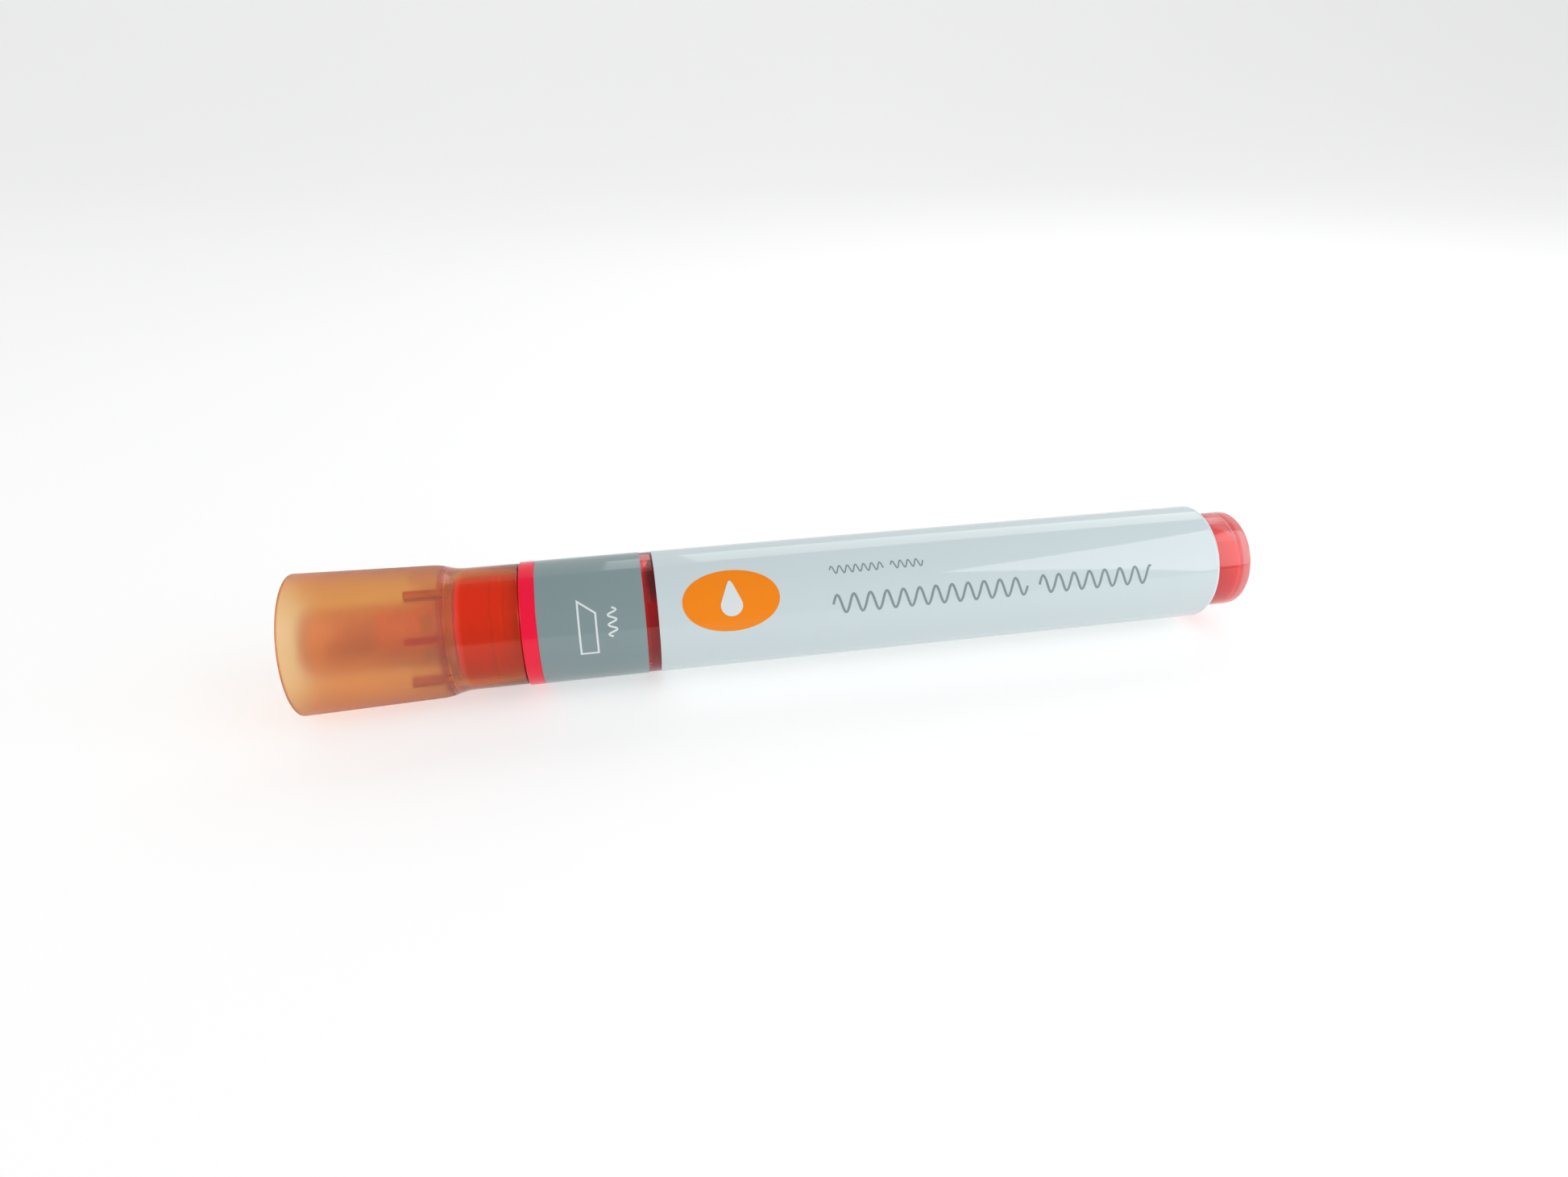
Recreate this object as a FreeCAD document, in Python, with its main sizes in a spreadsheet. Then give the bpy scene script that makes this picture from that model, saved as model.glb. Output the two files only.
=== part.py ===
import FreeCAD, Part
import math
import os

import Sketcher

# Whiteboard marker lying along X: the cap at -X, the posting stub at +X, +Z up.
# Origin: the middle of its length, on the surface it lies on.
# Stations along the pen count from the barrel's front edge, positive towards the stub.

# driving sizes, mm and degrees
sizes = {
    # barrel and its printed film
    "pen_dia": 17.0,
    "film": 0.1,
    "barrel_length": 98.0,
    "barrel_wall": 1.0,
    "shoulder_round": 0.9,
    "band_width": 14.05,
    "window_width": 1.7,
    "label_wrap": 55.0,
    # plug at the tail, which is also the posting stub
    "plug_insert": 6.0,
    "stub_length": 6.0,
    "stub_step": 0.25,
    "plug_wall": 1.2,
    "plug_end": 1.4,
    "plug_round": 0.8,
    # front section: collar, neck with its snap bead, spigot
    "collar_width": 2.05,
    "neck_length": 8.45,
    "neck_step": 1.5,
    "neck_chamfer": 0.4,
    "front_wall": 1.2,
    "land_width": 2.05,
    "land_height": 0.15,
    "bead_gap": 0.3,
    "bead_width": 1.6,
    "bead_height": 0.2,
    "bead_ramp": 0.3,
    "spigot_length": 11.0,
    "section_bore": 10.8,
    # nib and its holder
    "nib_dia": 4.6,
    "nib_length": 16.0,
    "nib_reach": 7.0,
    "chisel_run": 4.6,
    "chisel_back": 1.3,
    "chisel_edge": 0.7,
    "nose_dia": 8.0,
    "nose_length": 5.5,
    "tip_step": 0.5,
    "tip_length": 5.0,
    "tip_taper": 0.5,
    "holder_flange": 1.0,
    "vent_count": 6,
    "vent_width": 2.0,
    "vent_length": 1.5,
    "vent_depth": 1.0,
    "vent_back": 3.05,
    "vent_turn": 45.0,
    # ink feed
    "wick_dia": 3.0,
    "wick_in_tank": 3.5,
    "collector_play": 0.1,
    "collector_end_gap": 0.3,
    "collector_core": 4.8,
    "fin_pitch": 1.2,
    "fin_gap": 0.7,
    "fin_lead": 0.8,
    "air_channel": 1.0,
    "seal_depth": 3.5,
    "seal_recess": 2.0,
    "seal_rim": 1.0,
    "ink_level": 4.6,
    # cap
    "snap_play": 0.1,
    "rim_gap": 0.1,
    "sleeve_wall": 1.02,
    "skirt_step": 0.68,
    "skirt_flare": 0.47,
    "mouth_inset": 1.17,
    "skirt_wall": 1.0,
    "shoulder_front": 1.0,
    "shoulder_run": 2.5,
    "shoulder_blend": 7.0,
    "mouth_round": 0.3,
    "rib_count": 8,
    "rib_length": 4.8,
    "rib_width": 0.9,
    "rib_inset": 0.1,
    "rib_play": 0.3,
    "rib_turn": 22.5,
    "web": 1.0,
    "web_gap": 0.2,
    "web_play": 0.05,
    "seal_play": 0.15,
    "tip_play": 0.25,
    "tube_wall": 0.7,
    "tip_gap": 1.3,
    "tube_end": 1.0,
    "tube_round": 1.3,
}

# sizes and stations that follow from the driving ones
fits = {
    "pen_r": "Sizes.pen_dia / 2",
    "barrel_r": "pen_r - Sizes.film",
    "bore_r": "barrel_r - Sizes.barrel_wall",
    "shoulder_r": "min(Sizes.shoulder_round; 0.9 * Sizes.barrel_wall)",
    "label_start": "Sizes.band_width + Sizes.window_width",
    "neck_r": "pen_r - Sizes.neck_step",
    "neck_front": "-Sizes.neck_length - Sizes.collar_width",
    "bead_end": "Sizes.neck_length - Sizes.land_width - Sizes.bead_gap",
    "nose_r": "Sizes.nose_dia / 2",
    "tip_r": "nose_r - Sizes.tip_step",
    "holder_front": "neck_front - Sizes.nose_length - Sizes.tip_length",
    "holder_length": "Sizes.tip_length + Sizes.nose_length + Sizes.front_wall + Sizes.holder_flange",
    "flange_r": "Sizes.section_bore / 2 - Sizes.collector_play",
    "nib_r": "Sizes.nib_dia / 2",
    "nib_tip": "holder_front - Sizes.nib_reach",
    "nib_back": "nib_tip + Sizes.nib_length",
    "wick_r": "Sizes.wick_dia / 2",
    "tank_front": "Sizes.spigot_length + Sizes.seal_depth",
    "wick_length": "tank_front + Sizes.wick_in_tank - nib_back",
    "collector_front": "holder_front + holder_length",
    "collector_length": "Sizes.spigot_length - Sizes.collector_end_gap - collector_front",
    "fin_gaps": "floor((collector_length - Sizes.fin_lead) / Sizes.fin_pitch)",
    "plug_front": "Sizes.barrel_length - Sizes.plug_insert",
    "plug_length": "Sizes.plug_insert + Sizes.stub_length",
    "stub_r": "bore_r - Sizes.stub_step",
    "hollow_r": "stub_r - Sizes.plug_wall",
    "ink_length": "plug_front + plug_length - Sizes.plug_end - tank_front",
    "tail": "Sizes.barrel_length + Sizes.stub_length",
    "sleeve_r": "neck_r + Sizes.bead_height + Sizes.snap_play",
    "sleeve_out_r": "sleeve_r + Sizes.sleeve_wall",
    "web_back": "neck_front - Sizes.web_gap",
    "web_front": "web_back - Sizes.web",
    "tube_front": "nib_tip - Sizes.tip_gap - Sizes.tube_end",
    "cap_mouth": "tube_front - Sizes.mouth_inset",
    "cap_length": "-Sizes.collar_width - Sizes.rim_gap - cap_mouth",
    "skirt_length": "web_front - cap_mouth",
    "skirt_end": "skirt_length - Sizes.shoulder_front",
    "skirt_r": "sleeve_out_r + Sizes.skirt_step",
    "mouth_out_r": "skirt_r + Sizes.skirt_flare",
    "slope": "sqrt(pow(Sizes.skirt_step; 2) + pow(Sizes.shoulder_run; 2))",
    "slope_limit": "0.45 * slope * (slope + Sizes.shoulder_run) / Sizes.skirt_step",
    "blend_r": "min(Sizes.shoulder_blend; slope_limit)",
    "tube_length": "web_back - tube_front",
    "tube_r": "tip_r + Sizes.tip_play",
    "mouth_r": "nose_r + Sizes.seal_play",
    "step_end": "neck_front - Sizes.nose_length - tube_front - Sizes.seal_play",
    "step_start": "step_end - Sizes.tip_step",
    "rib_low": "max(sleeve_r - Sizes.rib_inset; mouth_r + Sizes.tube_wall + Sizes.rib_play)",
    "axis_height": "max(mouth_out_r; pen_r)",
    "row_shift": "-(tail + cap_mouth) / 2",
}

doc = FreeCAD.newDocument("WhiteboardMarker")
sheet = doc.addObject("Spreadsheet::Sheet", "Sizes")
for row, (name, value) in enumerate(sizes.items(), 1):
    sheet.set(f"A{row}", name)
    sheet.set(f"B{row}", str(value))
    sheet.setAlias(f"B{row}", name)
doc.recompute()

derived = doc.addObject("App::VarSet", "Fits")
for name, expression in fits.items():
    derived.addProperty("App::PropertyFloat", name, "Fits")
    derived.setExpression(name, expression)
doc.recompute()


def value_of(expression):
    return float(sheet.evalExpression(expression))


def plane(body, role):
    return next(item for item in body.Origin.OriginFeatures if item.Role == role)


# a piece of the pen, placed by the station of its own front end and turned about the pen's axis
def new_piece(label, station, turn="0"):
    body = doc.addObject("PartDesign::Body", label)
    body.Label = label
    body.Placement.Rotation = FreeCAD.Rotation(FreeCAD.Vector(1, 0, 0), 1)
    body.setExpression("Placement.Rotation.Angle", turn)
    body.setExpression("Placement.Base.x", f"Fits.row_shift + {station}")
    body.setExpression("Placement.Base.z", "Fits.axis_height")
    return body


# holds a point of a sketch at two expressions, or on an axis where one of them is "0"
def pin_point(sketch, item, end, across, up):
    for kind, expression, axis in (("DistanceX", across, -2), ("DistanceY", up, -1)):
        if expression is None:
            continue
        if expression == "0":
            sketch.addConstraint(Sketcher.Constraint("PointOnObject", item, end, axis))
            continue
        index = sketch.addConstraint(Sketcher.Constraint(kind, -1, 1, item, end, value_of(expression)))
        sketch.setExpression(f"Constraints[{index}]", expression)


def new_sketch(body, name, role="XZ_Plane"):
    sketch = body.newObject("Sketcher::SketchObject", f"{body.Label}_{name}")
    sketch.AttachmentSupport = (plane(body, role), "")
    sketch.MapMode = "FlatFace"
    return sketch


def add_polygon(sketch, corners):
    points = [FreeCAD.Vector(value_of(across), value_of(up), 0) for across, up in corners]
    first = sketch.GeometryCount
    for start, end in zip(points, points[1:] + points[:1]):
        sketch.addGeometry(Part.LineSegment(start, end), False)
    for number, (across, up) in enumerate(corners):
        before = first + (number - 1) % len(corners)
        sketch.addConstraint(Sketcher.Constraint("Coincident", before, 2, first + number, 1))
        pin_point(sketch, first + number, 1, across, up)


def new_feature(body, kind, name, profile, **settings):
    feature = body.newObject(f"PartDesign::{kind}", f"{body.Label}_{name}")
    feature.Profile = profile
    for key, setting in settings.items():
        setattr(feature, key, setting)
    return feature


# a turned solid: (distance along the pen, radius) corners spun about the pen's axis
def turn_solid(body, corners, name="outline"):
    sketch = new_sketch(body, name)
    add_polygon(sketch, corners)
    new_feature(body, "Revolution", "turned", sketch, ReferenceAxis=(sketch, ["H_Axis"]), Angle=360)
    doc.recompute()


# dresses the circular edges that lie at the given (distance along the pen, radius) places
def dress(body, kind, size, places):
    wanted = [(value_of(across), value_of(radius)) for across, radius in places]
    tip = body.Tip
    names = []
    for number, edge in enumerate(tip.Shape.Edges, 1):
        if not isinstance(edge.Curve, Part.Circle) or len(edge.Vertexes) > 1:
            continue
        here = (edge.Curve.Center.x, edge.Curve.Radius)
        if any(max(abs(here[0] - x), abs(here[1] - r)) < 1e-4 for x, r in wanted):
            names.append(f"Edge{number}")
    if len(names) != len(places):
        raise RuntimeError(f"{body.Label}: {len(names)} edges found for {len(places)} {kind} places")
    feature = body.newObject(f"PartDesign::{kind}", f"{body.Label}_{kind}{number}")
    feature.Base = (tip, names)
    feature.setExpression("Radius" if kind == "Fillet" else "Size", size)
    doc.recompute()


# spreads the last feature round the pen's axis
def spread_round(body, feature, count):
    pattern = body.newObject("PartDesign::PolarPattern", f"{body.Label}_round")
    pattern.Originals = [feature]
    pattern.Axis = (plane(body, "X_Axis"), [""])
    pattern.Angle = 360
    pattern.setExpression("Occurrences", count)
    body.Tip = pattern
    doc.recompute()


def check_changed(body, before, sign):
    if (body.Shape.Volume - before) * sign <= 1e-3:
        raise RuntimeError(f"{body.Label}: a feature changed nothing")


def make_barrel():
    body = new_piece("barrel", "0")
    turn_solid(body, [
        ("0", "Fits.bore_r"),
        ("Sizes.barrel_length", "Fits.bore_r"),
        ("Sizes.barrel_length", "Fits.barrel_r"),
        ("0", "Fits.barrel_r"),
    ])
    dress(body, "Fillet", "Fits.shoulder_r", [("Sizes.barrel_length", "Fits.barrel_r")])
    return body


def make_band_label():
    body = new_piece("band_label", "0")
    turn_solid(body, [
        ("0", "Fits.barrel_r"),
        ("Sizes.band_width", "Fits.barrel_r"),
        ("Sizes.band_width", "Fits.barrel_r + Sizes.film"),
        ("0", "Fits.barrel_r + Sizes.film"),
    ])
    return body


# the white film, shrunk over the barrel's rounded rear shoulder
def make_main_label():
    body = new_piece("main_label", "Fits.label_start")
    sketch = new_sketch(body, "outline")
    across = "Sizes.barrel_length - Fits.shoulder_r - Fits.label_start"
    up = "Fits.barrel_r - Fits.shoulder_r"
    centre = FreeCAD.Vector(value_of(across), value_of(up), 0)
    wrap = math.radians(90 - value_of("Sizes.label_wrap"))
    radii = [value_of("Fits.shoulder_r"), value_of("Fits.shoulder_r + Sizes.film")]
    circles = [Part.Circle(centre, FreeCAD.Vector(0, 0, 1), radius) for radius in radii]
    inner, outer = [Part.ArcOfCircle(circle, wrap, math.pi / 2) for circle in circles]
    start = [FreeCAD.Vector(0, centre.y + radius, 0) for radius in radii]
    sketch.addGeometry(Part.LineSegment(start[1], outer.EndPoint), False)
    sketch.addGeometry(outer, False)
    sketch.addGeometry(Part.LineSegment(outer.StartPoint, inner.StartPoint), False)
    sketch.addGeometry(inner, False)
    sketch.addGeometry(Part.LineSegment(inner.EndPoint, start[0]), False)
    sketch.addGeometry(Part.LineSegment(start[0], start[1]), False)
    joins = [(0, 2, 1, 2), (1, 1, 2, 1), (2, 2, 3, 1), (3, 2, 4, 1), (4, 2, 5, 1), (5, 2, 0, 1), (1, 3, 3, 3)]
    for join in joins:
        sketch.addConstraint(Sketcher.Constraint("Coincident", *join))
    pin_point(sketch, 1, 3, across, up)
    for item, radius in ((3, "Fits.shoulder_r"), (1, "Fits.shoulder_r + Sizes.film")):
        index = sketch.addConstraint(Sketcher.Constraint("Radius", item, value_of(radius)))
        sketch.setExpression(f"Constraints[{index}]", radius)
        pin_point(sketch, item, 2, across, None)
        pin_point(sketch, item, 1, f"{across} + ({radius}) * sin(Sizes.label_wrap * 1deg)", None)
    for item in (0, 4):
        sketch.addConstraint(Sketcher.Constraint("Horizontal", item))
    pin_point(sketch, 5, 1, "0", None)
    sketch.addConstraint(Sketcher.Constraint("Vertical", 5))
    new_feature(body, "Revolution", "turned", sketch, ReferenceAxis=(sketch, ["H_Axis"]), Angle=360)
    doc.recompute()
    return body


def make_tail_plug():
    body = new_piece("tail_plug", "Fits.plug_front")
    floor = "Fits.plug_length - Sizes.plug_end"
    turn_solid(body, [
        ("0", "Fits.hollow_r"),
        (floor, "Fits.hollow_r"),
        (floor, "0"),
        ("Fits.plug_length", "0"),
        ("Fits.plug_length", "Fits.stub_r"),
        ("Sizes.plug_insert", "Fits.stub_r"),
        ("Sizes.plug_insert", "Fits.bore_r"),
        ("0", "Fits.bore_r"),
    ])
    dress(body, "Fillet", "Sizes.plug_round", [
        (floor, "Fits.hollow_r"),
        ("Fits.plug_length", "Fits.stub_r"),
    ])
    return body


def make_front_section():
    body = new_piece("front_section", "Fits.neck_front")
    collar = "Sizes.neck_length + Sizes.collar_width"
    end = f"{collar} + Sizes.spigot_length"
    bead_r = "Fits.neck_r + Sizes.bead_height"
    land_r = "Fits.neck_r + Sizes.land_height"
    land = "Sizes.neck_length - Sizes.land_width"
    turn_solid(body, [
        ("0", "Fits.nose_r"),
        ("Sizes.front_wall", "Fits.nose_r"),
        ("Sizes.front_wall", "Sizes.section_bore / 2"),
        (end, "Sizes.section_bore / 2"),
        (end, "Fits.bore_r"),
        (collar, "Fits.bore_r"),
        (collar, "Fits.pen_r"),
        ("Sizes.neck_length", "Fits.pen_r"),
        ("Sizes.neck_length", land_r),
        (land, land_r),
        (land, "Fits.neck_r"),
        ("Fits.bead_end", "Fits.neck_r"),
        ("Fits.bead_end - Sizes.bead_ramp", bead_r),
        ("Fits.bead_end - Sizes.bead_width + Sizes.bead_ramp", bead_r),
        ("Fits.bead_end - Sizes.bead_width", "Fits.neck_r"),
        ("0", "Fits.neck_r"),
    ])
    dress(body, "Chamfer", "Sizes.neck_chamfer", [("0", "Fits.neck_r")])
    return body


def make_nib_holder():
    body = new_piece("nib_holder", "Fits.holder_front", "Sizes.vent_turn * 1deg")
    seat = "Fits.nib_back - Fits.holder_front"
    nose = "Sizes.tip_length"
    flange = "Fits.holder_length - Sizes.holder_flange"
    turn_solid(body, [
        ("0", "Fits.nib_r"),
        (seat, "Fits.nib_r"),
        (seat, "Fits.wick_r"),
        ("Fits.holder_length", "Fits.wick_r"),
        ("Fits.holder_length", "Fits.flange_r"),
        (flange, "Fits.flange_r"),
        (flange, "Fits.nose_r"),
        (nose, "Fits.nose_r"),
        (f"{nose} - Sizes.tip_step", "Fits.tip_r"),
        ("Sizes.tip_taper", "Fits.tip_r"),
        ("0", "Fits.tip_r - Sizes.tip_taper"),
    ])
    before = body.Shape.Volume
    sketch = new_sketch(body, "vent", "XY_Plane")
    sketch.setExpression("AttachmentOffset.Base.z", "Fits.nose_r - Sizes.vent_depth")
    back = f"{nose} + Sizes.nose_length - Sizes.vent_back"
    add_polygon(sketch, [
        (f"{back} - Sizes.vent_length", "-Sizes.vent_width / 2"),
        (back, "-Sizes.vent_width / 2"),
        (back, "Sizes.vent_width / 2"),
        (f"{back} - Sizes.vent_length", "Sizes.vent_width / 2"),
    ])
    slot = new_feature(body, "Pocket", "vents", sketch, Reversed=True)
    slot.setExpression("Length", "2 * Sizes.vent_depth")
    doc.recompute()
    check_changed(body, before, -1)
    spread_round(body, slot, "Sizes.vent_count")
    return body


# a round rod whose tip is cut to a slanted writing edge
def make_nib():
    body = new_piece("nib", "Fits.nib_tip")
    turn_solid(body, [
        ("0", "0"),
        ("Sizes.nib_length", "0"),
        ("Sizes.nib_length", "Fits.nib_r"),
        ("0", "Fits.nib_r"),
    ])
    before = body.Shape.Volume
    sketch = new_sketch(body, "chisel")
    low = "-Fits.nib_r + Sizes.chisel_edge"
    add_polygon(sketch, [
        ("0", low),
        ("Sizes.chisel_run", "2 * Fits.nib_r"),
        ("0", "2 * Fits.nib_r"),
    ])
    add_polygon(sketch, [
        ("0", f"{low} - Sizes.chisel_edge / 2"),
        ("0", "-2 * Fits.nib_r"),
        ("Sizes.chisel_back", "-2 * Fits.nib_r"),
    ])
    cut = new_feature(body, "Pocket", "edge", sketch, SideType="Symmetric")
    cut.setExpression("Length", "3 * Sizes.nib_dia")
    doc.recompute()
    check_changed(body, before, -1)
    return body


def make_wick():
    body = new_piece("wick", "Fits.nib_back")
    turn_solid(body, [
        ("0", "0"),
        ("Fits.wick_length", "0"),
        ("Fits.wick_length", "Fits.wick_r"),
        ("0", "Fits.wick_r"),
    ])
    return body


# the ink buffer: a row of thin fins on a core, with one air channel along them
def make_collector():
    body = new_piece("collector", "Fits.collector_front")
    turn_solid(body, [
        ("0", "Fits.wick_r"),
        ("Fits.collector_length", "Fits.wick_r"),
        ("Fits.collector_length", "Fits.flange_r"),
        ("0", "Fits.flange_r"),
    ])
    before = body.Shape.Volume
    sketch = new_sketch(body, "gap")
    add_polygon(sketch, [
        ("Sizes.fin_lead", "Sizes.collector_core / 2"),
        ("Sizes.fin_lead + Sizes.fin_gap", "Sizes.collector_core / 2"),
        ("Sizes.fin_lead + Sizes.fin_gap", "Fits.flange_r + Sizes.fin_gap"),
        ("Sizes.fin_lead", "Fits.flange_r + Sizes.fin_gap"),
    ])
    gap = new_feature(body, "Groove", "fins", sketch, ReferenceAxis=(sketch, ["H_Axis"]), Angle=360)
    doc.recompute()
    check_changed(body, before, -1)
    row = body.newObject("PartDesign::LinearPattern", "collector_row")
    row.Originals = [gap]
    row.Direction = (plane(body, "X_Axis"), [""])
    row.setExpression("Length", "(Fits.fin_gaps - 1) * Sizes.fin_pitch")
    row.setExpression("Occurrences", "Fits.fin_gaps")
    body.Tip = row
    doc.recompute()
    before = body.Shape.Volume
    channel = new_sketch(body, "channel", "XY_Plane")
    channel.setExpression("AttachmentOffset.Base.z", "Sizes.collector_core / 2")
    add_polygon(channel, [
        ("Sizes.fin_lead", "-Sizes.air_channel / 2"),
        ("Fits.collector_length", "-Sizes.air_channel / 2"),
        ("Fits.collector_length", "Sizes.air_channel / 2"),
        ("Sizes.fin_lead", "Sizes.air_channel / 2"),
    ])
    cut = new_feature(body, "Pocket", "air", channel, Reversed=True)
    cut.setExpression("Length", "Sizes.section_bore")
    doc.recompute()
    check_changed(body, before, -1)
    return body


# closes the tank behind the spigot, and lets only the wick through
def make_tank_seal():
    body = new_piece("tank_seal", "Sizes.spigot_length")
    turn_solid(body, [
        ("0", "Fits.wick_r"),
        ("Sizes.seal_depth", "Fits.wick_r"),
        ("Sizes.seal_depth", "Fits.bore_r"),
        ("0", "Fits.bore_r"),
        ("0", "Fits.bore_r - Sizes.seal_rim"),
        ("Sizes.seal_recess", "Fits.bore_r - Sizes.seal_rim"),
        ("Sizes.seal_recess", "Fits.wick_r + Sizes.seal_rim"),
        ("0", "Fits.wick_r + Sizes.seal_rim"),
    ])
    return body


# the free ink, level with the horizon, filling the tank and the plug's hollow below its surface
def make_ink():
    body = new_piece("ink", "Fits.tank_front")
    plug = "Fits.plug_front - Fits.tank_front"
    turn_solid(body, [
        ("0", "Fits.wick_r"),
        ("Sizes.wick_in_tank", "Fits.wick_r"),
        ("Sizes.wick_in_tank", "0"),
        ("Fits.ink_length", "0"),
        ("Fits.ink_length", "Fits.hollow_r"),
        (plug, "Fits.hollow_r"),
        (plug, "Fits.bore_r"),
        ("0", "Fits.bore_r"),
    ])
    dress(body, "Fillet", "Sizes.plug_round", [("Fits.ink_length", "Fits.hollow_r")])
    before = body.Shape.Volume
    sketch = new_sketch(body, "air_gap")
    add_polygon(sketch, [
        ("0", "Sizes.ink_level"),
        ("Fits.tail", "Sizes.ink_level"),
        ("Fits.tail", "Sizes.pen_dia"),
        ("0", "Sizes.pen_dia"),
    ])
    cut = new_feature(body, "Pocket", "surface", sketch, SideType="Symmetric")
    cut.setExpression("Length", "2 * Sizes.pen_dia")
    doc.recompute()
    check_changed(body, before, -1)
    return body


# clear sleeve over the neck, shoulder and flared skirt in one moulding; inside the skirt eight ribs
# end in the plane that the inner cap's web seats on
def make_cap_shell():
    body = new_piece("cap_shell", "Fits.cap_mouth", "Sizes.rib_turn * 1deg")
    seat = "Fits.skirt_length"
    slope_end = "Fits.skirt_end + Sizes.shoulder_run"
    in_r = "Fits.mouth_out_r - Sizes.skirt_wall"
    turn_solid(body, [
        ("0", in_r),
        ("Fits.skirt_end", "Fits.skirt_r - Sizes.skirt_wall"),
        (seat, "Fits.sleeve_r"),
        ("Fits.cap_length", "Fits.sleeve_r"),
        ("Fits.cap_length", "Fits.sleeve_out_r"),
        (slope_end, "Fits.sleeve_out_r"),
        ("Fits.skirt_end", "Fits.skirt_r"),
        ("0", "Fits.mouth_out_r"),
    ])
    dress(body, "Fillet", "Fits.blend_r", [
        (slope_end, "Fits.sleeve_out_r"),
        ("Fits.skirt_end", "Fits.skirt_r"),
    ])
    dress(body, "Fillet", "Sizes.mouth_round", [
        ("0", in_r),
        ("0", "Fits.mouth_out_r"),
        ("Fits.cap_length", "Fits.sleeve_out_r"),
    ])
    before = body.Shape.Volume
    sketch = new_sketch(body, "rib")
    top = "Fits.skirt_r - Sizes.skirt_wall / 2"
    front = f"{seat} - Sizes.rib_length"
    add_polygon(sketch, [
        (front, "Fits.rib_low"),
        (seat, "Fits.rib_low"),
        (seat, "Fits.sleeve_r + Sizes.sleeve_wall / 2"),
        ("Fits.skirt_end", top),
        (front, top),
    ])
    rib = new_feature(body, "Pad", "rib_pad", sketch, SideType="Symmetric")
    rib.setExpression("Length", "Sizes.rib_width")
    doc.recompute()
    check_changed(body, before, 1)
    spread_round(body, rib, "Sizes.rib_count")
    return body


# the closed tube that keeps the nib wet, with the web that carries it in the shell
def make_inner_cap():
    body = new_piece("inner_cap", "Fits.tube_front")
    web = "Fits.tube_length - Sizes.web"
    web_r = "Fits.sleeve_r - Sizes.web_play"
    turn_solid(body, [
        ("Sizes.tube_end", "0"),
        ("Sizes.tube_end", "Fits.tube_r"),
        ("Fits.step_start", "Fits.tube_r"),
        ("Fits.step_end", "Fits.mouth_r"),
        ("Fits.tube_length", "Fits.mouth_r"),
        ("Fits.tube_length", web_r),
        (web, web_r),
        (web, "Fits.mouth_r + Sizes.tube_wall"),
        ("Fits.step_end", "Fits.mouth_r + Sizes.tube_wall"),
        ("Fits.step_start", "Fits.tube_r + Sizes.tube_wall"),
        ("0", "Fits.tube_r + Sizes.tube_wall"),
        ("0", "0"),
    ])
    dress(body, "Fillet", "Sizes.tube_round", [("0", "Fits.tube_r + Sizes.tube_wall")])
    return body


pieces = [
    make_barrel(),
    make_band_label(),
    make_main_label(),
    make_tail_plug(),
    make_front_section(),
    make_nib_holder(),
    make_nib(),
    make_wick(),
    make_collector(),
    make_tank_seal(),
    make_ink(),
    make_cap_shell(),
    make_inner_cap(),
]

doc.recompute()
for item in doc.Objects:
    if "Invalid" in item.State or "Error" in item.State:
        raise RuntimeError(f"{item.Label}: {item.State}")
for piece in pieces:
    if piece.Shape.isNull() or not piece.Shape.isValid() or len(piece.Shape.Solids) != 1:
        raise RuntimeError(f"{piece.Label}: not one sound solid")

os.makedirs("parts", exist_ok=True)
for piece in pieces:
    piece.Shape.exportStep(f"parts/{piece.Label}.step")
    box = piece.Shape.optimalBoundingBox(False)
    print(f"{piece.Label:14s} {piece.Shape.Volume:9.1f} mm3, x {box.XMin:7.2f} to {box.XMax:7.2f}")
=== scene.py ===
import math
import bpy
import bmesh
from mathutils import Matrix, Vector


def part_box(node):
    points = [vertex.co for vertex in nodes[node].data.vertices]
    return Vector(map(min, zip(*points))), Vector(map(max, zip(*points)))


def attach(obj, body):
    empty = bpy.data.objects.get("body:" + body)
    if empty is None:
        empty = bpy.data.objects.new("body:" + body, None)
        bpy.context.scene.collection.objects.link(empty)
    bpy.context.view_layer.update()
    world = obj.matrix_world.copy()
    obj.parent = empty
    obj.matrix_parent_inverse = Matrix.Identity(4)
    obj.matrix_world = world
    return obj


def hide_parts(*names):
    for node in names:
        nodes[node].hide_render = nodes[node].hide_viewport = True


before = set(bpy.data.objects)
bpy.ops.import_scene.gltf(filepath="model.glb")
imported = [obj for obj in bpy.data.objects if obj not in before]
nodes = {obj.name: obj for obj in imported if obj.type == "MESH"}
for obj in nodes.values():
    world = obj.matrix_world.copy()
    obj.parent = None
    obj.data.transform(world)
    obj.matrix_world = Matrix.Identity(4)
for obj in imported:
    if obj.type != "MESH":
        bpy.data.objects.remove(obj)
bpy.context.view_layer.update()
scene = bpy.context.scene
mm = 0.001

barrelLow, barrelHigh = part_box("barrel")
inkLow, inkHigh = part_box("ink")
axisHeight = (barrelLow.z + barrelHigh.z) / 2
barrelFront = barrelLow.x  # in metres; places along the pen are counted from here, in mm
penR = (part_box("band_label")[1].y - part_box("band_label")[0].y) / 2 / mm
barrelR = (barrelHigh.y - barrelLow.y) / 2 / mm
boreR = (inkHigh.y - inkLow.y) / 2 / mm
pressedR = boreR - 0.01  # what is pressed into the bore stands just clear of it
softEdge = 0.1  # mm, the rounding of most moulded edges
crispEdge = 0.05
roundSteps = 144


def station(node, end):
    return (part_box(node)[end].x - barrelFront) / mm


def roundness(node):
    low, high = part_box(node)
    return (high.y - low.y) / 2 / mm


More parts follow.
